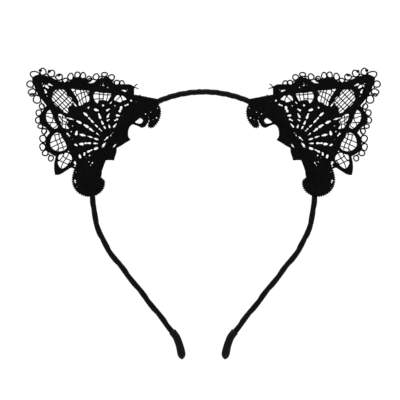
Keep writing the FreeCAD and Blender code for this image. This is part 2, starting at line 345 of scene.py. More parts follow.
# ---- lace as a height field -----------------------------------------------------------------------
class Cloth:
    """Thread laid on a grid: its edge, how far it stands up, and which way its stitches run."""

    def __init__(self, low, high):
        across = np.arange(low[0], high[0], CELL)
        up = np.arange(low[1], high[1], CELL)
        self.low = low
        self.x, self.z = np.meshgrid(across, up, indexing="ij")
        self.edge = np.full(self.x.shape, -9.0)     # distance in from the nearest edge
        self.raised = np.zeros(self.x.shape)
        self.place = np.stack([self.x, self.z], axis=-1)

    def near(self, points, reach):
        """The part of the grid within reach of some points."""
        p = np.asarray(points, float)
        first = np.floor((p.min(axis=0) - reach - self.low) / CELL).astype(int).clip(0)
        last = np.ceil((p.max(axis=0) + reach - self.low) / CELL).astype(int)
        return slice(first[0], last[0]), slice(first[1], last[1])

    def fill(self, loop):
        """Solid thread inside a closed path."""
        part = self.near(loop, 3)
        x, z = self.x[part], self.z[part]
        d, _ = nearest(x, z, loop)
        signed = np.where(encloses(x, z, loop), d, -d)
        self.edge[part] = np.maximum(self.edge[part], signed)

    def cord(self, path, half, height):
        """A rounded cord of satin stitches along a path, raised on the fill."""
        part = self.near(path, half + 2)
        d, along = nearest(self.x[part], self.z[part], path)
        self.stand(part, d / half, height, along, d)

    def stand(self, part, off_centre, height, along, across):
        """Raises a rounded ridge, and turns its stitches to lie across it."""
        ridge = height * np.sqrt(np.clip(1 - off_centre**2, 0, 1))
        higher = ridge > self.raised[part]
        self.raised[part] = np.where(higher, ridge, self.raised[part])
        for k, value in ((0, along), (1, across)):
            self.place[part][..., k] = np.where(higher, value, self.place[part][..., k])

    def eyelet(self, path, half, rim=0.10):
        """A hole along a path, with a slightly raised rim."""
        part = self.near(path, half + 2)
        d, along = nearest(self.x[part], self.z[part], path)
        half = half - HOLE_EASE + HOLE_VARIES * np.sin(2.3 * along + 3.1 * path[0][0])
        self.edge[part] = np.minimum(self.edge[part], d - half)
        self.stand(part, (d - half - 0.4) / 0.4, rim, along, d)

    def opening(self, loop, rim_half, rim_height):
        """A hole with a smooth outline, with a corded rim."""
        part = self.near(loop, 3)
        x, z = self.x[part], self.z[part]
        d, along = nearest(x, z, loop)
        signed = np.where(encloses(x, z, loop), -d, d) + HOLE_EASE / 2
        self.edge[part] = np.minimum(self.edge[part], signed)
        self.stand(part, (signed - rim_half) / rim_half, rim_height, along, signed)

    def mesh(self, shape, put):
        """Adds the thread as a closed mesh; put(x, z, height) gives its 3-D points."""
        inside = self.edge > 0
        rise = np.sqrt(1 - (1 - np.clip(self.edge / ROUND_EDGE, 0, 1))**2)
        number = np.full(inside.shape, -1)
        number[inside] = np.arange(inside.sum())
        total = int(inside.sum())
        x, z = self.x[inside], self.z[inside]
        front = put(x, z, (rise * (FRONT_HALF + self.raised))[inside])
        back = put(x, z, -(rise * (BACK_HALF + BACK_RELIEF * self.raised))[inside])
        place = self.place[inside]
        rim_number, rim_x, rim_z, rim_place = {}, [], [], []

        def rim(a, b):
            """The vertex on the edge between a node inside and one outside."""
            key = (a, b) if a < b else (b, a)
            if key not in rim_number:
                inner, outer = self.edge[a], self.edge[b]
                t = min(max(inner / (inner - outer), 0.12), 0.88)
                rim_number[key] = len(rim_x)
                rim_x.append(self.x[a] * (1 - t) + self.x[b] * t)
                rim_z.append(self.z[a] * (1 - t) + self.z[b] * t)
                rim_place.append(self.place[a])
            return 2 * total + rim_number[key]

        faces = []
        kinds = (inside[:-1, :-1].astype(int) + inside[1:, :-1] + inside[1:, 1:] + inside[:-1, 1:])
        i, j = np.nonzero(kinds == 4)
        quads = np.stack([number[i, j], number[i + 1, j], number[i + 1, j + 1], number[i, j + 1]], 1)
        faces += [tuple(q) for q in quads.tolist()]
        faces += [tuple(q) for q in (quads[:, ::-1] + total).tolist()]
        for i, j in np.argwhere((kinds > 0) & (kinds < 4)):
            nodes = [(i, j), (i + 1, j), (i + 1, j + 1), (i, j + 1)]
            for ring in edge_cells(nodes, inside, number, rim):
                faces.append(tuple(ring))
                faces.append(tuple(v + total if v < total else v for v in reversed(ring)))
        edge = put(np.array(rim_x), np.array(rim_z), np.zeros(len(rim_x)))
        places = np.vstack([place, place, np.array(rim_place)])
        flat = np.fromiter((v for face in faces for v in face), int)
        shape.add(np.vstack([front, back, edge]), faces, places[flat])


def edge_cells(nodes, inside, number, rim):
    """The part of one grid cell that is thread, as one or two rings of vertices."""
    flags = [inside[n] for n in nodes]
    if sum(flags) == 2 and flags[0] == flags[2]:
        for k in (0, 1, 2, 3):
            if flags[k]:
                yield [rim(nodes[k], nodes[k - 1]), number[nodes[k]], rim(nodes[k], nodes[(k + 1) % 4])]
        return
    ring = []
    for k, node in enumerate(nodes):
        after = nodes[(k + 1) % 4]
        if flags[k]:
            ring.append(int(number[node]))
        if flags[k] != flags[(k + 1) % 4]:
            ring.append(rim(node, after) if flags[k] else rim(after, node))
    yield ring


# ---- the ear's lace: outline, windows and eyelets -------------------------------------------------
EAR_EDGE = (  # stretches of smooth edge that meet at corners, clockwise from the upper foot
    ((25.2, -3.4), (31, -2.3), (36, -1.5), (39.8, -0.9)),
    ((39.8, -0.9), (39.7, 3.6)),
    ((39.7, 3.6), (41.6, 4.9), (45, 5.2), (51.2, 5.0)),
    ((51.2, 5.0), (53.5, 8.5), (57, 9.8), (60, 8), (63.4, 6)),
    ((63.4, 6), (65.2, 5.8), (68, 8.3), (72, 9.3), (75.5, 8), (78, 5.6)),
    ((78, 5.6), (82.5, 6.9), (86, 8.6), (90, 10.1), (95.5, 10.4), (98, 8.5), (97.3, 6.2),
     (95.5, 1), (92.3, -3.8), (89.7, -7)),
    ((89.7, -7), (92.7, -11.5), (93.8, -14), (93.5, -16.5), (89.3, -20.5), (87.9, -22.6)),
    ((87.9, -22.6), (89.5, -24.5), (90.3, -28), (90.2, -31.5), (88.2, -33.8), (84.5, -36)),
    ((84.5, -36), (85.4, -40.5), (85.4, -43), (84.8, -46.6)),
    ((84.8, -46.6), (82.5, -46.4), (78.5, -44.2), (75, -42.5), (73.9, -43.3)),
    "teeth",
    ((73.9, -43.3), (75.0, -47.5), (75.0, -51), (73.2, -55.1), (69.2, -58.1), (65.2, -58.9),
     (61.2, -57.9), (58.1, -55.6), (56.5, -52), (56.6, -49.8), (58.6, -48)),
    "plain",
    ((58.6, -48), (58.1, -45), (58.3, -42.5), (57.8, -40.5), (56.4, -38.3)),
    ((56.4, -38.3), (54, -38.1), (51.2, -38.3)),
    ((51.2, -38.3), (50.6, -36), (49.8, -33.5), (49.7, -31.2)),
    ((49.7, -31.2), (47.4, -30.0), (44.9, -28.4), (41.7, -26.5)),
    ((41.7, -26.5), (43.0, -24.7), (43.2, -22.5), (42.7, -20), (41.3, -18), (40, -17.8)),
    ((40, -17.8), (37.5, -18.8), (35.5, -19.7), (33.5, -19), (32.4, -17.3), (31.0, -15)),
    "teeth",
    ((31.0, -15), (31.6, -19.3), (29.5, -19.7), (27.3, -17.8), (25.5, -15), (24.6, -11),
     (25, -8), (26, -6), (25.2, -3.4)),
)
WINDOWS = (  # outline; families of net threads as direction, spacing and a place they pass; single threads
    (
        ((44.1, -3.7), (45.3, -2.1), (47.5, -0.9), (49.6, -1.2), (51, -2.7), (51.3, -3.9), (49.3, -4.7),
         (47.6, -5.2), (46.6, -4.5), (44.9, -3.9)),
        (),
        (
            ((46.5, -5), (46.8, -3.2), (47.5, -1.9), (48.9, -0.5)),
            ((46.9, -0.9), (48.5, -2.6), (50.7, -4.5)),
        ),
    ),
    (
        ((52.6, -0.5), (57.8, 0.2), (62.4, 0.4), (63, -1.1), (62.1, -4.5), (60.6, -5.8), (59.9, -4.3),
         (56.9, -4), (54.9, -4.5), (53.7, -2.7)),
        (),
        (
            ((54.7, 0.6), (54.9, -1.4), (55.7, -4.3)),
            ((57.1, 0.9), (57.5, -4)),
            ((59.6, 1.1), (59.7, -4.3)),
            ((52.5, -0.9), (56.3, -0.9), (59.5, -0.5), (63.1, -0.3)),
            ((57.1, -3.1), (60.3, -3.2), (62.9, -3.4)),
        ),
    ),
    (
        ((65.1, 1.1), (67.8, 1.7), (71.5, 1.9), (75.7, 2.3), (74.4, 0.4), (73.2, -1.6), (71.7, -4.5),
         (71, -7.2), (69.9, -7), (67.9, -5.4), (65.9, -4.9), (65.2, -3.5), (65.7, -1.2), (65.9, 0.1)),
        (),
        (
            ((67.3, 2.3), (66.5, 0), (65.5, -1.6)),
            ((68.9, 2.3), (68.1, -0.2), (67.4, -2.5), (67, -5.5)),
            ((70.7, 2.4), (69.8, -0.5), (69.4, -3.1), (68.6, -5.9)),
            ((73.2, 2.6), (72.9, -0.2), (71.6, -1.8), (70.8, -4), (70.1, -5.7), (69.8, -7.5)),
            ((65.1, -1.1), (67.6, -1.8), (69.3, -3), (70.6, -4), (71.9, -5.2)),
            ((65.5, 0.8), (68.5, 0.6), (70.3, 0), (72.1, -0.9), (73.3, -2.4)),
            ((74.9, 0.5), (73.1, 1.8), (72.3, 2.8)),
        ),
    ),
    (
        ((79.6, 1.8), (82.5, 2.2), (84.6, 1.8), (86.6, -1.8), (86.1, -4.9), (82.9, -8.2), (80.1, -10.6),
         (77.2, -11.4), (77.3, -8.4), (75.3, -6.5), (75.3, -2.9), (77.7, -0.9), (78.5, 0.6)),
        ((45, 1.6, (79.7, -4.2)), (-45, 3.3, (79.7, -4.2))),
        (),
    ),
    (
        ((82.9, -11.8), (82.6, -14.8), (81.7, -17.2), (80.5, -19.4), (78.5, -20.2), (76.9, -20.3),
         (78.1, -17.8), (77.3, -16.1), (78.7, -14.6), (79.5, -13)),
        (),
        (
            ((77.9, -16.9), (79.5, -16.1), (80.7, -15.3), (82.5, -13.1)),
            ((78.3, -14.2), (80.1, -14), (81.2, -13.5), (83, -13)),
            ((77.5, -17.6), (79.3, -17.6), (80.7, -17.3), (82.1, -15.6)),
            ((80.2, -12), (80.6, -14), (80.7, -15.6), (80.7, -18.8)),
            ((77, -14.8), (78.3, -16.2), (78.7, -18.1), (78.8, -20.6)),
        ),
    ),
    (
        ((87.4, -9.4), (89.2, -10.4), (90, -12.4), (89.3, -16.1), (87.2, -18.6), (84.9, -20.3),
         (83.2, -19.2), (84.7, -16.2), (86, -13.2), (86.7, -11)),
        (),
        (
            ((86.3, -11.5), (88.3, -11.4), (90.2, -11.3)),
            ((85.6, -14.2), (87.5, -13.9), (88.8, -13.2), (90.3, -13.2)),
            ((84.3, -16.8), (86.1, -16.8), (87.5, -16.6), (89.5, -16.6)),
            ((86, -14.4), (86.4, -16.1), (87.1, -16.8), (87.4, -18.8)),
            ((83.6, -18.3), (84.7, -19.2), (86, -19.9)),
        ),
    ),
    (
        ((81.9, -22.8), (83.5, -22.3), (86.7, -24.8), (87.5, -27.4), (87.4, -30.1), (84.9, -32.5),
         (82.5, -33.1), (78.1, -30.8), (78.7, -28.6), (81.2, -24.4)),
        (),
        (
            ((80.7, -25.1), (82.5, -26.2), (84.5, -26.9), (86.3, -27.6), (87.8, -28.4)),
            ((79.6, -27.4), (81.2, -28.1), (83.2, -29.1), (84.9, -29.8), (87.1, -31.1)),
            ((78.1, -29.9), (80.5, -30.8), (82.9, -31.6), (84.2, -33)),
            ((82.1, -23.3), (83.7, -23.4), (85.5, -23.8)),
            ((82.8, -22.4), (82.4, -25.1), (81.3, -28.1), (80.6, -29.6), (80.1, -32.1)),
            ((84.9, -23.4), (84.7, -25.8), (83.3, -29.1), (82.9, -30.8), (83.1, -33.2)),
        ),
    ),
    (
        ((76.7, -34.4), (78.5, -33.8), (80.5, -34.5), (82.5, -35.1), (83.2, -37.9), (83.2, -40.2),
         (81.2, -42.9), (77.7, -41), (75.1, -37.5), (75.5, -35.7)),
        (),
        (
            ((77, -34.2), (78.1, -36.5), (80.1, -39.2), (81.4, -42.7)),
            ((79.6, -34), (80.3, -35.8), (81.6, -37.5), (83.5, -38.9)),
            ((75.1, -38.4), (77.3, -37.7), (79.5, -36.4), (80.7, -35.4)),
            ((76.9, -40.9), (78.3, -40.1), (79.9, -39.4), (81.6, -38.6), (83.5, -37.7)),
            ((76, -38.4), (77.6, -40.7)),
        ),
    ),
)
EYELETS = (  # rows of holes in the fan: both ends of each hole's middle line, and its half-width
    # between the first and second ribs
    ((51.6, -22.4, 52.9, -24.2, .60), (54.4, -24.6, 56.6, -26.7, .55), (56.2, -28.4, 57.8, -30.6, .85),
     (50.2, -28.9, 51.8, -30.8, .50)),
    ((43.4, -6.4, 44.9, -7.0, .65), (47.2, -8.0, 48.0, -10.2, .80), (46.0, -9.4, 47.2, -9.0, .40),
     (48.3, -12.8, 49.6, -12.6, .70), (49.4, -14.8, 50.8, -15.5, .65), (49.9, -17.4, 51.5, -19.2, .60)),
    ((54.0, -9.0, 55.2, -9.7, .70), (54.0, -11.6, 55.1, -13.6, .65), (54.0, -14.9, 55.0, -15.5, .60),
     (54.3, -17.9, 53.7, -19.5, .55)),
    ((60.4, -9.8, 62.0, -9.3, .80), (59.9, -11.8, 59.1, -14.0, .75), (58.3, -15.8, 57.6, -17.4, .65),
     (56.9, -19.0, 56.1, -20.2, .55)),
    ((68.4, -11.2, 66.5, -12.8, .75), (65.5, -14.1, 63.0, -16.7, .60), (62.2, -17.8, 60.8, -19.0, .55),
     (59.6, -20.2, 58.4, -21.4, .55)),
    ((78.0, -14.0, 74.4, -15.0, .55), (72.3, -15.9, 70.2, -16.9, .80), (68.2, -18.0, 66.2, -19.2, .80),
     (65.0, -20.2, 63.6, -21.2, .70), (63.4, -21.6, 61.8, -21.7, .40), (61.1, -22.8, 59.5, -24.2, .45)),
    ((77.8, -23.0, 76.7, -24.2, .65), (72.5, -21.8, 72.8, -23.2, .85), (70.5, -23.5, 67.8, -24.1, .75),
     (66.2, -24.4, 63.6, -25.2, .55), (62.5, -25.7, 60.2, -26.4, .60)),
    ((73.3, -29.2, 72.2, -29.8, .60), (70.6, -28.9, 69.2, -28.9, .85), (67.6, -28.4, 64.9, -28.4, .65),
     (62.8, -28.5, 60.5, -28.6, .55)),
    ((60.9, -31.2, 62.4, -31.8, .80), (63.9, -32.2, 66.3, -33.4, .65), (68.1, -34.1, 68.2, -35.0, .85),
     (70.9, -35.3, 70.5, -36.5, .75)),
)
SLITS = (  # long holes outside the fan, in the same form
    (44.6, 1.2, 46.8, 1.8, .55), (52.0, -4.2, 54.0, -6.4, .40), (72.7, -7.5, 74.8, -4.8, .50),
    (56.0, 3.8, 57.7, 4.7, .35), (86.4, 4.3, 88.4, 5.2, .60), (88.7, 3.1, 89.8, 4.0, .80),
    (90.8, 4.9, 91.4, 4.1, .50), (90.7, 1.9, 90.1, 0.6, .75), (63.5, -39.5, 64.6, -41.0, .45),
    (73.6, -39.4, 73.2, -40.4, .75),
)
DOTS = (  # small round holes: centre and half-width
    (46.6, -12.7, .40), (41.5, -4.2, .75), (38.6, -4.8, .35), (50.8, -7.1, .50), (57.5, -6.9, .70),
    (62.2, -7.2, .30), (65.8, -8.2, .70), (74.8, -9.4, .40), (74.8, -18.6, .60), (75.6, -21.8, .45),
    (74.8, -26.2, .50), (77.2, -33.1, .50), (89.6, -1.7, .50), (65.2, -35.4, .50), (67.0, -36.7, .35),
    (68.1, -37.7, .45), (64.4, -37.9, .40), (65.6, -39.0, .40), (73.6, -41.5, .50), (72.8, -44.8, .50),
    (68.0, -49.0, .30), (66.0, -50.7, .35), (65.3, -52.0, .50), (73.5, -49.8, .60), (73.2, -50.8, .50),
    (72.4, -53.6, .55), (30.4, -10.8, .50), (33.3, -11.8, .50), (29.8, -12.8, .50), (31.8, -13.5, .55),
    (26.5, -8.5, .40), (27.0, -14.0, .50), (26.0, -11.5, .30), (29.0, -15.0, .30), (43.7, 1.9, .50),
    (48.2, 1.7, .35), (54.9, 3.3, .45), (57.4, 5.7, .30), (59.0, 4.6, .30), (57.4, 9.1, .40),
    (63.1, 6.2, .40), (63.4, 7.2, .40), (65.3, 6.8, .50), (92.0, 5.5, .40),
)
TEARDROP = ((34.7, -15.4), (36.6, -14.0), (38.6, -14.6), (39.7, -16.2), (38.2, -17.1), (35.8, -17.2))
RIBS = (145, 114, 91, 66, 43, 18, -7, -30, -58)    # directions of the fan's ribs from its focus
RIB_START, RIB_END = 4.0, 19.0
RIB_HALF = (0.85, 1.75)                            # half-width at each end
ROSETTES = ((31.2, -12.4, 5.9, 8), (66.0, -50.0, 8.0, 10))  # centre, radius, number of petals
CASINGS = (  # raised cords outside the fan: half-width, then the path
    (1.25, ((29.1, -3.4), (52.0, 0.6), (76.3, 4.9), (95.5, 8.2))),
    (1.15, ((95.5, 8.2), (92.6, -0.4), (87.3, -9.0), (84.0, -15.6), (82.2, -20.6), (77.4, -28.6),
            (73.9, -35.4), (70.4, -43.4), (68.4, -46.8))),
    (1.00, ((37.0, -7.6), (39.4, -12.4), (43.6, -16.2), (46.0, -21.0), (48.2, -26.6), (53.2, -32.0),
            (57.4, -36.6), (61.6, -43.2))),
    (0.80, ((63.8, 3.2), (64.0, -2.4), (66.6, -8.6), (70.4, -12.4), (76.6, -12.6), (82.6, -10.2),
            (87.6, -5.0))),
    (0.80, ((78.4, 3.6), (75.4, 0.4), (73.8, -2.2), (74.2, -6.4), (76.0, -12.2))),
    (0.75, ((76.4, -14.2), (75.6, -19.6), (78.2, -22.0), (82.6, -21.2), (87.4, -21.6))),
    (0.75, ((76.0, -24.6), (76.2, -31.4), (79.6, -32.9), (84.2, -34.4))),
    (0.80, ((52.0, 1.6), (51.8, -3.2), (53.6, -6.0), (57.6, -5.6), (62.0, -6.4), (64.0, -2.4))),
)
PICOTS = (  # loops of twisted thread along the scalloped edge: centre and half-axes
    (46.9, 5.4, 1.6, 1.6), (49.6, 5.8, 1.6, 1.6), (52.7, 9.1, 1.6, 1.6), (56.7, 10.7, 1.6, 1.2),
    (61.5, 9.3, 1.7, 1.7), (65.4, 8.1, 1.5, 1.5), (65.2, 7.6, 0.8, 0.8), (68.9, 9.9, 1.5, 1.8),
    (72.1, 10.4, 1.5, 1.7), (76.0, 9.4, 1.6, 1.9), (79.0, 7.2, 1.6, 1.4), (82.5, 9.2, 1.8, 1.8),
    (82.7, 10.3, 0.6, 0.5), (86.9, 11.2, 1.9, 1.9), (88.1, 12.5, 0.6, 0.5), (91.7, 12.2, 1.8, 1.9),
    (93.2, 13.0, 0.6, 0.5), (96.3, 10.6, 2.6, 1.9), (99.0, 5.2, 2.0, 1.7), (97.9, 0.9, 2.1, 1.6),
    (97.9, -0.9, 1.3, 0.7), (95.1, -3.4, 2.2, 2.2), (92.3, -7.5, 1.5, 1.5), (94.1, -11.1, 1.6, 1.7),
    (94.4, -15.2, 1.6, 1.7), (93.2, -18.8, 1.3, 1.3), (91.0, -21.6, 1.5, 1.5), (91.7, -25.9, 1.9, 1.9),
    (91.9, -30.6, 1.7, 1.9), (90.4, -34.0, 1.6, 1.6), (87.2, -37.0, 1.5, 1.5),
)
SMALL_CURL = 1.2         # picots whose half-axes multiply to less are curls on another picot
CUT_ENDS = (  # thread left over where the embroidery was cut, beside the upper foot
    ((40.6, 3.0), (39.4, 3.2), (38.2, 2.9), (37.2, 2.3)),
    ((40.4, 3.6), (39.3, 4.2), (38.6, 5.0), (37.7, 5.1)),
)


def ear_outline():
    """The ear's whole edge as one closed path."""
    toothed, runs = False, []
    for stretch in EAR_EDGE:
        if isinstance(stretch, str):
            toothed = stretch == "teeth"
            continue
        curve = smooth(stretch, 0.7)
        runs.append(serrated(curve, 0.75, 1.35)[:-1] if toothed else curve[:-1])
    loop = np.vstack(runs)
    return np.vstack([loop, loop[:1]])


def rib_ridges(cloth):
    """The fan's ribs, which widen away from its focus."""
    part = cloth.near([FAN_FOCUS], RIB_END + 1)
    dx, dz = cloth.x[part] - FAN_FOCUS[0], cloth.z[part] - FAN_FOCUS[1]
    for degrees in RIBS:
        way = math.radians(degrees)
        out = dx * math.cos(way) + dz * math.sin(way)
        off = dz * math.cos(way) - dx * math.sin(way)
        share = np.clip((out - RIB_START) / (RIB_END - RIB_START), 0, 1)
        half = RIB_HALF[0] + (RIB_HALF[1] - RIB_HALF[0]) * share
        past = np.maximum(np.maximum(RIB_START - out, out - RIB_END), 0)
        cloth.stand(part, np.hypot(off / half, past / half), RIB_HEIGHT, out, off)


def rosette_ridges(cloth, x, z, radius, petals):
    """A small flower: a ring of raised petals round a button."""
    part = cloth.near([(x, z)], radius)
    dx, dz = cloth.x[part] - x, cloth.z[part] - z
    out, angle = np.hypot(dx, dz), np.arctan2(dz, dx)
    petal = np.abs(np.sin(angle * petals / 2))
    middle, reach = 0.66, 0.30          # of the petals, as shares of the rosette's radius
    off = (out / radius - middle) / (reach * np.sqrt(petal) + 1e-6)
    cloth.stand(part, off, 0.40, angle * radius * 0.6, out)
    button = 0.24
    cloth.stand(part, out / (button * radius), 0.38, out, angle * radius)
    rim, rim_half = 0.98, 0.07
    cloth.stand(part, (out / radius - rim) / rim_half, 0.25, angle * radius, out)


def ear_cloth():
    """The embroidery: its fill, then what stands up from it, then its holes."""
    outline = ear_outline()
    cloth = Cloth((23.0, -61.0), (100.0, 12.5))
    cloth.fill(outline)
    part = cloth.near(outline, 1)
    d, along = nearest(cloth.x[part], cloth.z[part], outline)
    half, height = EDGE_CORD
    cloth.stand(part, (d - half) / half, height, along, d)
    rib_ridges(cloth)
    for rosette in ROSETTES:
        rosette_ridges(cloth, *rosette)
    for half, path in CASINGS:
        cloth.cord(smooth(path, 0.8), half, CASING_HEIGHT)
    for window, _, _ in WINDOWS:
        cloth.opening(smooth_loop(window, 0.5), *WINDOW_CORD)
    cloth.opening(smooth_loop(TEARDROP, 0.5), *TEARDROP_CORD)
    for row in EYELETS:
        for ax, az, bx, bz, half in row:
            cloth.eyelet([(ax, az), (bx, bz)], half)
    for ax, az, bx, bz, half in SLITS:
        cloth.eyelet([(ax, az), (bx, bz)], half)
    for x, z, half in DOTS:
        cloth.eyelet([(x, z), (x + 0.01, z)], half)
    return cloth


def ear_lace():
    """The embroidery as a mesh."""
    shape = Shape()
    ear_cloth().mesh(shape, on_ear)
    return shape


def thread_family(loop, degrees, spacing, through, chance):
    """Nearly parallel threads across a window, cut where they reach its edge."""
    way = math.radians(degrees)
    along = np.array([math.cos(way), math.sin(way)])
    across = np.array([-along[1], along[0]])
    t = np.arange(-NET_REACH, NET_REACH, NET_STEP)
    for k in range(-NET_LINES, NET_LINES + 1):
        bow = chance.uniform(-0.2, 0.2) * np.cos(t / 3)
        p = np.array(through) + along * t[:, None] + across * (k * spacing + bow)[:, None]
        d, _ = nearest(p[:, 0], p[:, 1], loop)
        keep = encloses(p[:, 0], p[:, 1], loop) | (d < 0.5)
        for run in np.split(np.arange(len(t)), np.nonzero(np.diff(keep))[0] + 1):
            if keep[run[0]] and len(run) > 4:
                yield p[run]


def net_threads():
    """Fine threads stretched across each window, passing over and under each other."""
    shape = Shape()
    chance = random.Random(5)
    for outline, families, singles in WINDOWS:
        loop = smooth_loop(outline, 0.6)
        threads = [smooth(single, NET_STEP) for single in singles]
        for family in families:
            threads += thread_family(loop, *family, chance)
        for k, p in enumerate(threads):
            weave = NET_WEAVE * np.cos(NET_STEP * np.arange(len(p)) * math.pi / NET_RUN + math.pi * k)
            add_tube(shape, on_ear(p[:, 0], p[:, 1], weave), NET_R, sides=8)
    return shape


def picot_base():
    """The thread that runs along the inner side of the picots, from each to the next."""
    outline = ear_outline()
    loops = [loop for loop in PICOTS if loop[2] * loop[3] > SMALL_CURL]
    path = []
    for (x, z, rx, rz), after in zip(loops, loops[1:] + loops[-1:]):
        inward = outline[np.argmin(np.hypot(outline[:, 0] - x, outline[:, 1] - z))] - (x, z)
        inward /= np.hypot(*inward)
        path.append((x + inward[0] * rx, z + inward[1] * rz))
        if after[:2] != (x, z):
            between = (x + after[0]) / 2, (z + after[1]) / 2
            path.append((between[0] + inward[0] * 0.5 * rx, between[1] + inward[1] * 0.5 * rz))
    return smooth(path, 0.3)


def picots():
    """All the picots, and the thread that joins them."""
    shape = Shape()
    base = picot_base()
    add_tube(shape, on_ear(base[:, 0], base[:, 1], 0.1), PICOT_BASE_R, sides=9)
    for k, (x, z, rx, rz) in enumerate(PICOTS):
        add_twist(shape, (x, z), (rx, rz), 0.16 * math.sin(2.4 * k + 0.7))
    return shape


def cut_ends():
    """Loose thread ends, thinner towards their tips."""
    shape = Shape()
    for k, path in enumerate(CUT_ENDS):
        p = smooth(path, 0.25)
        forward = 0.15 - 0.3 * k - 0.12 * np.arange(len(p)) / len(p)
        add_tube(shape, on_ear(p[:, 0], p[:, 1], forward), np.linspace(0.42, 0.24, len(p)), sides=9)
    return shape


# ---- the lace margin on the back of the band ------------------------------------------------------
FOLD_START, FOLD_END = math.radians(35.0), math.radians(81.0)
FOLD_PROFILE = ((-2.9, -1.6), (-2.75, -0.4), (-2.1, 0.95), (-1.0, 1.7), (0.3, 1.9), (1.8, 1.8), (3.2, 1.6))
FOLD_PITCH = 2.9
NOTCH_HALF = 1.7         # the margin is notched behind the fan's innermost eyelets


def margin_cloth(width):
    """A lace tape with a scalloped free edge and a row of eyelets, laid out flat."""
    start, end = band_at(FOLD_START), band_at(FOLD_END)
    cloth = Cloth((start - 1, -1.0), (end + 1, width + 1.0))
    scallops = smooth([(start, width - 0.8), (end, width - 0.8)], 0.3)
    scallops[:, 1] += 0.9 * np.abs(np.sin(math.pi * (scallops[:, 0] - start) / FOLD_PITCH)) - 0.2
    loop = np.vstack([[(start, 0.0)], scallops, [(end, 0.0)], [(start, 0.0)]])
    cloth.fill(loop)
    d, along = nearest(cloth.x, cloth.z, scallops)
    cloth.stand((slice(None), slice(None)), (d - 0.5) / 0.5, 0.22, along, d)
    for k in range(int((end - start) / FOLD_PITCH)):
        x = start + (k + 0.5) * FOLD_PITCH
        cloth.eyelet([(x, width - 2.2), (x, width - 1.9)], 0.5, rim=0.16)
        cloth.eyelet([(x + FOLD_PITCH / 2, 3.2), (x + FOLD_PITCH / 2, 3.9)], 0.42, rim=0.16)
    for ax, az, bx, bz, _ in EYELETS[0][:3]:
        s = band_at(math.atan2((ax + bx) / 2, (az + bz) / 2 + CROWN_R))
        cloth.eyelet([(s - 1.0, width - 0.6), (s + 1.0, width - 0.6)], NOTCH_HALF, rim=0.16)
    return cloth


def folded_margin():
    """The margin, folded round to the back of the band."""
    profile = smooth(FOLD_PROFILE, 0.3)
    run = np.append(0, np.cumsum(np.hypot(*np.diff(profile, axis=0).T)))
    away = np.stack([-np.gradient(profile[:, 1]), np.gradient(profile[:, 0])], axis=1)
    away /= np.hypot(*away.T)[:, None]

    def put(s, t, height):
        """Places along the band and across the tape, as 3-D points."""
        offset, y = (np.interp(t, run, profile[:, k]) for k in (0, 1))
        out_x, out_y = (np.interp(t, run, away[:, k]) for k in (0, 1))
        beyond = np.maximum(t - run[-1], 0)
        offset, y = offset + beyond + out_x * height, y + out_y * height
        centre = np.array([band(v) for v in s]).reshape(-1, 3)
        turn = centre[:, 2]
        return np.stack([centre[:, 0] + np.sin(turn) * offset, y, centre[:, 1] + np.cos(turn) * offset], 1)

    shape = Shape()
    margin_cloth(run[-1]).mesh(shape, put)
    return shape


# ---- threads that hold it together ----------------------------------------------------------------
def ring_round(x, z, out, half_out, front, back, lean=0.0):
    """A flattened ring of thread round something that runs across out, a direction in XZ."""
    angle = np.arange(28) / 28 * TURN
    wide = np.sign(np.cos(angle)) * np.abs(np.cos(angle)) ** 0.6 * half_out
    deep = np.sign(np.sin(angle)) * np.abs(np.sin(angle)) ** 0.6
    y = (front + back) / 2 + deep * (back - front) / 2
    along = np.array([out[1], -out[0]]) * lean
    return np.stack([x + out[0] * wide + along[0] * deep, y, z + out[1] * wide + along[1] * deep], 1)


def margin_stitches():
    """Loops of thread round the band that hold the lace and its folded margin."""
    shape = Shape()
    chance = random.Random(11)
    for degrees in np.arange(36.6, 81.0, 3.0):
        s = band_at(math.radians(degrees + chance.uniform(-0.5, 0.5)))
        x, z, turn = band(s)
        out = (math.sin(turn), math.cos(turn))
        ring = ring_round(x, z, out, 2.95, LACE_Y - 0.86, 2.3, lean=0.5)
        add_tube(shape, ring, 0.2, sides=8, closed=True)
    return shape


def frame_stitches():
    """Loops of thread that hold the lace to the ear frame."""
    shape = Shape()
    chance = random.Random(3)
    for foot in (UPPER_CORNER, LOWER_CORNER):
        reach = math.hypot(APEX[0] - foot[0], APEX[1] - foot[1])
        along = ((APEX[0] - foot[0]) / reach, (APEX[1] - foot[1]) / reach)
        for run in np.arange(8.0, reach - 3.0, 5.2):
            run += chance.uniform(-0.5, 0.5)
            x, z = foot[0] + along[0] * run, foot[1] + along[1] * run
            ring = ring_round(x, z, (-along[1], along[0]), 1.35, LACE_Y - 0.8, 1.3, lean=0.35)
            add_tube(shape, ring, 0.17, sides=8, closed=True)
    return shape


def lashing(heading):
    """Thread wound side by side round the band and a foot of the ear frame."""
    shape = Shape()
    turns, pitch, thread = 12, 0.42, 0.21
    start = band_at(heading) - turns * pitch / 2
    angle = np.arange(turns * 30 + 1) / 30 * TURN
    circles = ((0.0, WRAP_R + 0.12 + thread), (WRAP_R + FRAME_R, FRAME_R + thread))
    path = []
    for a in angle:
        centre, r = max(circles, key=lambda c: c[0] * math.cos(a) + c[1])
        x, z = off_band(start + a / TURN * pitch, centre + r * math.cos(a))
        path.append((x, r * math.sin(a), z))
    add_tube(shape, path, thread, sides=8)
    return shape


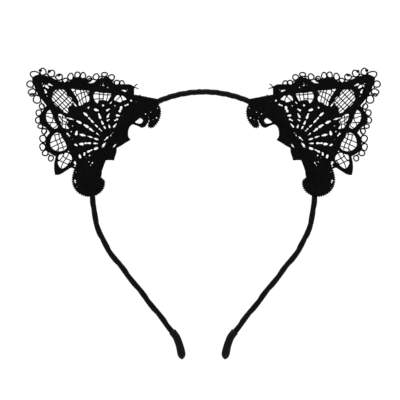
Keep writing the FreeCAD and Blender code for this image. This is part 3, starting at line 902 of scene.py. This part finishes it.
# ---- the ear frame's winding ----------------------------------------------------------------------
def frame_path(spacing):
    """The wound part of the ear frame, with a small bend at the apex."""
    apex = np.array(APEX)
    ends = []
    for corner in (UPPER_CORNER, LOWER_CORNER):
        way = apex - corner
        ends.append(np.array(corner) + way / np.hypot(*way) * BARE_LEG)
    to_first, to_last = ends[0] - apex, ends[1] - apex
    to_first, to_last = to_first / np.hypot(*to_first), to_last / np.hypot(*to_last)
    reach = 3.4
    a, b = apex + to_first * reach, apex + to_last * reach
    t = np.linspace(0, 1, 9)[1:-1, None]
    bend = a * (1 - t) ** 2 + 2 * apex * t * (1 - t) + b * t**2
    corners = np.vstack([ends[:1], [a], bend, [b], ends[1:]])
    run = np.append(0, np.cumsum(np.hypot(*np.diff(corners, axis=0).T)))
    fine = np.arange(0, run[-1], spacing)
    return np.stack([np.interp(fine, run, corners[:, k]) for k in (0, 1)], axis=1)


def frame_winding():
    """Thread wound round the ear frame's wire."""
    pitch, rings_per_turn = 0.5, 5
    p = frame_path(pitch / rings_per_turn)
    phase = np.arange(len(p)) / rings_per_turn * TURN
    radius = FRAME_WRAP_R - 0.06 + 0.07 * np.abs(np.sin(phase / 2)) ** 0.7
    radius[:3] = radius[-3:] = FRAME_R + 0.08
    shape = Shape()
    add_tube(shape, np.stack([p[:, 0], 0 * p[:, 0], p[:, 1]], axis=1), radius, sides=14)
    return shape


# ---- the band -------------------------------------------------------------------------------------
RIBBON_SPLIT = math.radians(60.0)      # hidden under the lace; the ribbon's two lengths meet here
CROWN_RIBBON = {"pitch": 5.6, "start": -1.4, "base": 1.50, "swell": 0.20, "step": 0.07}
ARM_RIBBON = {"pitch": 17.7, "start": 102.8, "base": 1.36, "swell": 0.44, "step": 0.10}
CROWN_STARTS = {"right": (-3.3, 0.65, 0.12), "left": (1.6, 0.0, 0.0)}    # place, slant, raised lip
SLANT_FADES, LIP_FADES = 3, 2.5      # how far along the band each dies out
RIBBON_STEP = 0.22       # between rings of a ribbon's mesh
TUCK = 0.30              # how far a ribbon's two ends are tucked in
BAND_GIRTH = 8.4         # once round the wound band


def ribbon_radius(s, angle, pitch, start, base, swell, step):
    """Distance of the wound ribbon from the band's middle: each turn swells, then steps down."""
    wobble = 0.35 * np.sin(s * 0.31) + 0.2 * np.sin(s * 0.83 + 1.0)
    phase = ((s + wobble - start) / pitch + angle / TURN) % 1.0
    rise = ease(phase / 0.80)
    fall = 1 - ease((phase - 0.81) / 0.19)
    lap = step * (1 - ease((phase - 0.80) / 0.02)) * ease(phase / 0.3)
    crease = 0.016 * np.sin(phase * 5 * TURN + 0.4 * np.sin(s * 0.9)) * ease((phase - 0.1) / 0.3)
    return base + (swell - step) * rise * fall + lap + crease


def ribbon(first, last, winding, slant=0.0, lip=0.0):
    """The ribbon wound on the band between two places; its first end can slant and stand up."""
    sides = 44
    angle = np.arange(sides) / sides * TURN
    stations = np.arange(first, last, RIBBON_STEP)
    fade = ease(1 - (stations - first) / SLANT_FADES)
    s = stations[:, None] + slant * np.cos(angle)[None, :] * fade[:, None]
    radius = ribbon_radius(s, angle[None, :], **winding)
    radius[0] -= TUCK
    radius[1:] += lip * ease(1 - (stations[1:, None] - first) / LIP_FADES)
    radius[-1] -= TUCK
    rings = np.empty((*s.shape, 3))
    for i in range(s.shape[0]):
        for j in range(sides):
            x, z, turn = band(s[i, j])
            out = radius[i, j] * math.cos(angle[j])
            rings[i, j] = (x + math.sin(turn) * out, radius[i, j] * math.sin(angle[j]),
                           z + math.cos(turn) * out)
    full = np.append(angle, TURN)
    along = np.broadcast_to(stations[:, None], (len(stations), sides + 1))
    width = BAND_GIRTH * winding["pitch"] / math.hypot(BAND_GIRTH, winding["pitch"])
    across = (along / winding["pitch"] + full[None, :] / TURN) * width
    shape = Shape()
    add_skin(shape, rings, np.stack([across, along], axis=-1))
    return shape


def spring_wire(first, last):
    """The spring wire inside the ribbon."""
    shape = Shape()
    path = [band(s) for s in np.arange(first, last, 1.0)]
    add_tube(shape, [(x, 0.0, z) for x, z, _ in path], 0.9, sides=16)
    return shape


def tip_cap():
    """A dipped rubber cap: a rolled mouth, a slight bulge and a blunt pointed end."""
    start = BAND_END - TIP_R * TIP_TURN - KNEE_R * KNEE_TURN - CAP_ON_ARM
    knots = (0.0, 0.12, 0.45, 1.0, 2.2, 4.8, 9.5, 12.5, 14.2, 15.6, 16.6, 17.2, 17.5)
    sizes = (1.75, 2.02, 2.24, 2.16, 2.18, 2.20, 2.24, 2.38, 2.40, 2.10, 1.50, 0.85, 0.15)
    run = np.concatenate([np.linspace(0, 1, 12), np.linspace(1.3, 17.5, 60)])
    size = np.interp(run, knots, sizes)
    for _ in range(2):
        size[8:-1] = (size[7:-2] + 2 * size[8:-1] + size[9:]) / 4
    path = [band(start + r) for r in run]
    shape = Shape()
    add_tube(shape, [(x, 0.0, z) for x, z, _ in path], size, sides=32)
    return shape


# ---- materials ------------------------------------------------------------------------------------
def new_material(name, colour, roughness, sheen=0.0, specular=0.2, metallic=0.0):
    """A material with its plain numbers on the shader's own sockets."""
    made = bpy.data.materials.new(name)
    made.use_nodes = True
    shader = made.node_tree.nodes["Principled BSDF"]
    shader.inputs["Base Color"].default_value = (*colour, 1)
    shader.inputs["Roughness"].default_value = roughness
    shader.inputs["Specular IOR Level"].default_value = specular
    shader.inputs["Sheen Weight"].default_value = sheen
    shader.inputs["Sheen Roughness"].default_value = 0.5
    shader.inputs["Metallic"].default_value = metallic
    return made, made.node_tree, shader


def node(tree, kind, **settings):
    """Adds a node; each setting is an input's value or a property."""
    made = tree.nodes.new(kind)
    for key, value in settings.items():
        if key in made.inputs:
            made.inputs[key].default_value = value
        else:
            setattr(made, key, value)
    return made


def noise(tree, scale, detail=3.0, stretch=(1, 1, 1)):
    """Noise fixed to the object; its scale is in spots per metre."""
    place = node(tree, "ShaderNodeTexCoord")
    sized = node(tree, "ShaderNodeMapping")
    sized.inputs["Scale"].default_value = stretch
    made = node(tree, "ShaderNodeTexNoise", Scale=scale, Detail=detail)
    tree.links.new(place.outputs["Object"], sized.inputs["Vector"])
    tree.links.new(sized.outputs["Vector"], made.inputs["Vector"])
    return made.outputs["Fac"]


def stitches(tree, pitch, slant, distortion):
    """Rounded threads side by side, laid out by the mesh's own thread places."""
    place = node(tree, "ShaderNodeUVMap", uv_map="thread")
    turned = node(tree, "ShaderNodeMapping")
    turned.inputs["Rotation"].default_value = (0, 0, slant)
    made = node(tree, "ShaderNodeTexWave", wave_type="BANDS", bands_direction="X", wave_profile="SIN",
                Scale=WAVE_SCALE / pitch, Distortion=distortion, Detail=1.0)
    made.inputs["Detail Scale"].default_value = 0.6
    tree.links.new(place.outputs["UV"], turned.inputs["Vector"])
    tree.links.new(turned.outputs["Vector"], made.inputs["Vector"])
    return made.outputs["Fac"]


def spread(tree, factor, low, high, socket):
    """Turns a pattern between 0 and 1 into numbers between low and high."""
    made = node(tree, "ShaderNodeMapRange")
    made.inputs["To Min"].default_value = low
    made.inputs["To Max"].default_value = high
    tree.links.new(factor, made.inputs["Value"])
    tree.links.new(made.outputs["Result"], socket)


def tint(tree, factor, dark, light, socket):
    """Turns a pattern between 0 and 1 into colours between dark and light."""
    made = node(tree, "ShaderNodeValToRGB")
    made.color_ramp.elements[0].color = (*dark, 1)
    made.color_ramp.elements[1].color = (*light, 1)
    made.color_ramp.elements[0].position, made.color_ramp.elements[1].position = 0.25, 0.8
    tree.links.new(factor, made.inputs["Fac"])
    tree.links.new(made.outputs["Color"], socket)


def bump(tree, shader, layers):
    """Stacks patterns as bumps; each layer is a pattern and its depth in metres."""
    before = None
    for factor, depth in layers:
        made = node(tree, "ShaderNodeBump", Strength=1.0, Distance=depth)
        tree.links.new(factor, made.inputs["Height"])
        if before:
            tree.links.new(before.outputs["Normal"], made.inputs["Normal"])
        before = made
    tree.links.new(before.outputs["Normal"], shader.inputs["Normal"])


def thread_material(name, pitch, slant, depth, dark, light, sheen=0.01, distortion=0.9):
    """Embroidery or sewing thread, stitch by stitch, with a little fuzz and uneven dye."""
    made, tree, shader = new_material(name, light, 0.62, sheen=sheen, specular=0.04)
    threads = stitches(tree, pitch, slant, distortion)
    fuzz = noise(tree, 9000, 5)
    tint(tree, noise(tree, 320, 4), dark, light, shader.inputs["Base Color"])
    spread(tree, threads, 0.74, 0.50, shader.inputs["Roughness"])
    bump(tree, shader, [(threads, depth), (fuzz, depth * 0.35)])
    return made


def satin_material():
    """Black satin ribbon: fine glossy warp lines along it, soft creases and faint rubbing."""
    made, tree, shader = new_material("black_satin_ribbon", (0.002,) * 3, 0.42, sheen=0.01, specular=0.06)
    shader.inputs["Anisotropic"].default_value = 0.5
    warp = stitches(tree, 0.16, 0.0, 0.3)
    weft = stitches(tree, 0.30, math.pi / 2, 0.6)
    crease = noise(tree, 420, 3, (1.0, 1.0, 0.35))
    tint(tree, noise(tree, 260, 4), (0.0013,) * 3, (0.0032, 0.0032, 0.0034), shader.inputs["Base Color"])
    spread(tree, crease, 0.34, 0.56, shader.inputs["Roughness"])
    bump(tree, shader, [(warp, 0.000022), (weft, 0.000010), (crease, 0.00012)])
    return made


def rubber_material():
    """Smooth dipped rubber with faint dip ripples, dust and hairline scuffs."""
    made, tree, shader = new_material("black_dipped_rubber", (0.0025,) * 3, 0.38, specular=0.09)
    ripples = noise(tree, 240, 2, (1.0, 1.0, 3.0))
    dust = noise(tree, 2600, 6)
    tint(tree, dust, (0.0018,) * 3, (0.0040, 0.0040, 0.0042), shader.inputs["Base Color"])
    spread(tree, dust, 0.28, 0.52, shader.inputs["Roughness"])
    bump(tree, shader, [(ripples, 0.00010), (dust, 0.000012)])
    return made


def enamel_material():
    """Black enamelled wire with small chips of roughness."""
    made, tree, shader = new_material("black_enamelled_wire", (0.005,) * 3, 0.30, specular=0.4)
    drawn = noise(tree, 1500, 4)
    tint(tree, drawn, (0.004,) * 3, (0.010,) * 3, shader.inputs["Base Color"])
    spread(tree, drawn, 0.22, 0.45, shader.inputs["Roughness"])
    bump(tree, shader, [(drawn, 0.00002)])
    return made


def steel_material():
    """Drawn spring steel: fine lines along the wire and slight oil staining."""
    made, tree, shader = new_material("spring_steel", (0.42, 0.42, 0.43), 0.32, metallic=1.0, specular=0.5)
    lines = stitches(tree, 0.12, math.pi / 2, 0.5)
    stain = noise(tree, 200, 4)
    tint(tree, stain, (0.30, 0.29, 0.28), (0.48, 0.48, 0.50), shader.inputs["Base Color"])
    spread(tree, stain, 0.25, 0.45, shader.inputs["Roughness"])
    bump(tree, shader, [(lines, 0.00001)])
    return made


INK, SOFT_BLACK = (0.0014, 0.0014, 0.0015), (0.0034, 0.0034, 0.0036)


def make_materials():
    """Every material, by the name that the assembly uses."""
    return {
        "lace_thread": thread_material("lace_thread", THREAD_PITCH, 0.12, 0.00009, INK, SOFT_BLACK),
        "picot_thread": thread_material("picot_thread", 0.22, 0.7, 0.00004, INK, SOFT_BLACK),
        "net_thread": thread_material("net_thread", 0.30, 0.7, 0.00005, INK, SOFT_BLACK),
        "winding_thread": thread_material("winding_thread", 0.26, 0.6, 0.00004, INK, SOFT_BLACK),
        "satin_ribbon": satin_material(),
        "cap_rubber": rubber_material(),
        "frame_wire": enamel_material(),
        "spring_steel": steel_material(),
    }


# ---- assembly -------------------------------------------------------------------------------------
def point(s, side):
    """A place on the band as a point in the frame, in metres."""
    x, z, _ = band(s)
    return side * x * MM, 0.0, z * MM


def upper_flex(piece, side, name):
    """Bakes a piece's placing into its mesh. The band places either side of the cut between the crown and
    the shoulder, which ends before the ear's upper foot, are worked out and not used: the piece does not
    bend.
    """
    cut = band_at(UPPER_CUT)
    point(cut - 13, side)
    point(cut + 2.2, side)
    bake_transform(piece)


def lower_flex(piece, side, name):
    """Bakes a piece's placing into its mesh. The band places either side of the cut between the shoulder
    and the arm, below the ear's lower foot, are worked out and not used: the piece does not bend.
    """
    cut = band_at(LOWER_CUT)
    point(cut - 4, side)
    point(cut + 14, side)
    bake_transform(piece)


def finish_piece(shape, base, side, name, material, slot, nodes=()):
    """Makes a piece for one side with its material, and hides the CAD nodes it stands for."""
    piece = shape.piece(f"{base}_{name}", side)
    piece.data.materials.append(material)
    if nodes:
        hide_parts(*[n if n.endswith("_crown") else f"{n}_{name}" for n in nodes])
    return piece


def build():
    """Makes every piece, once for each side."""
    materials = make_materials()
    split, wrap_end = band_at(RIBBON_SPLIT), BAND_END - TIP_R * TIP_TURN * 0.4
    lace, thread = ("lace_thread", "lace_thread"), ("winding_thread", "winding_thread")
    shapes = {  # base name: shape, material and slot, nodes it stands for
        "embroidered_ear": (
            ear_lace(), lace,
            ("lace_fan", "lace_border", "upper_rosette", "lower_rosette", "teardrop_loop")),
        "window_net": (net_threads(), ("net_thread", "net_thread"), ("lace_net",)),
        "picot_loops": (picots(), ("picot_thread", "lace_thread"), ("picot_edging",)),
        "cut_thread_ends": (cut_ends(), ("picot_thread", "lace_thread"), ()),
        "turned_margin": (folded_margin(), lace, ("folded_margin",)),
        "sewn_stitches": (margin_stitches(), thread, ("margin_stitches",)),
        "frame_stitches": (frame_stitches(), thread, ()),
        "upper_foot_lashing": (lashing(UPPER_LASHING), thread, ("upper_lashing",)),
        "lower_foot_lashing": (lashing(LOWER_LASHING), thread, ("lower_lashing",)),
        "wound_ear_frame": (frame_winding(), thread, ("ear_frame_winding",)),
    }
    wires = (spring_wire(0.0, split), spring_wire(split - 0.5, wrap_end))
    arm_ribbon = ribbon(split - 1.2, wrap_end, ARM_RIBBON)
    cap = tip_cap()
    for side, name in ((1, "right"), (-1, "left")):
        made = {}
        for base, (shape, (material, slot), nodes) in shapes.items():
            made[base] = finish_piece(shape, base, side, name, materials[material], slot, nodes)
            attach(made[base], f"{name}_shoulder")
        first, slant, lip = CROWN_STARTS[name]
        crown_ribbon = ribbon(first, split, CROWN_RIBBON, slant, lip)
        steel, satin = materials["spring_steel"], materials["satin_ribbon"]
        for shape, base, flex, material, slot, nodes in (
            (crown_ribbon, "ribbon_crown", upper_flex, satin, "satin_ribbon",
             ("ribbon_wrap_crown", "ribbon_wrap_shoulder")),
            (wires[0], "spring_wire_crown", upper_flex, steel, "spring_steel",
             ("core_wire_crown", "core_wire_shoulder")),
            (arm_ribbon, "ribbon_arm", lower_flex, satin, "satin_ribbon", ("ribbon_wrap_arm",)),
            (wires[1], "spring_wire_arm", lower_flex, steel, "spring_steel", ("core_wire_arm",)),
        ):
            flex(finish_piece(shape, base, side, name, material, slot, nodes), side, name)
        rubber = materials["cap_rubber"]
        cap_piece = finish_piece(cap, "dipped_tip_cap", side, name, rubber, "cap_rubber", ("tip_cap",))
        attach(cap_piece, f"{name}_arm")
        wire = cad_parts[f"ear_frame_wire_{name}"]
        wire.data.materials.clear()
        wire.data.materials.append(materials["frame_wire"])


# ---- camera, light and floor ----------------------------------------------------------------------
def make_camera():
    """A long lens, level and square on to the headband."""
    data = bpy.data.cameras.new("camera")
    data.lens, data.sensor_width = 236.84, 36.0
    data.clip_start, data.clip_end = 0.05, 20.0
    camera = bpy.data.objects.new("camera", data)
    camera.location = (-0.00202, -1.5, -0.0603)
    camera.rotation_euler = (math.pi / 2, 0, 0)
    bpy.context.collection.objects.link(camera)
    bpy.context.scene.camera = camera


def soft_light(name, place, size, power):
    """A square softbox aimed at the middle of the headband."""
    data = bpy.data.lights.new(name, "AREA")
    data.size, data.energy = size, power
    light = bpy.data.objects.new(name, data)
    light.location = place
    aim = Vector((0, 0, -0.06)) - Vector(place)
    light.rotation_euler = aim.to_track_quat("-Z", "Y").to_euler()
    bpy.context.collection.objects.link(light)


def make_floor():
    """A round white table top below the headband."""
    bpy.ops.mesh.primitive_circle_add(vertices=96, radius=1.5, fill_type="NGON", location=(0, 0, -0.45))
    table = bpy.context.active_object
    table.name = "white_table"
    made, tree, shader = new_material("white_table", (0.86, 0.86, 0.86), 0.8, specular=0.1)
    tint(tree, noise(tree, 30, 3), (0.85, 0.85, 0.85), (0.88, 0.88, 0.88), shader.inputs["Base Color"])
    table.data.materials.append(made)


def make_studio():
    """A white room with two large softboxes in front and one above."""
    bpy.context.scene.view_settings.view_transform = "Standard"
    world = bpy.data.worlds.new("white_studio")
    world.use_nodes = True
    tree = world.node_tree
    tree.nodes["Background"].inputs["Color"].default_value = (1, 1, 1, 1)
    seen = node(tree, "ShaderNodeLightPath")
    spread(tree, seen.outputs["Is Camera Ray"], 0.50, 1.05, tree.nodes["Background"].inputs["Strength"])
    bpy.context.scene.world = world
    soft_light("key", (-0.9, -1.1, 0.9), 0.9, 9.0)
    soft_light("fill", (1.2, -1.2, 0.2), 1.0, 4.0)
    soft_light("top", (0.0, 0.3, 1.4), 1.2, 30.0)


make_camera()
make_studio()
make_floor()
build()
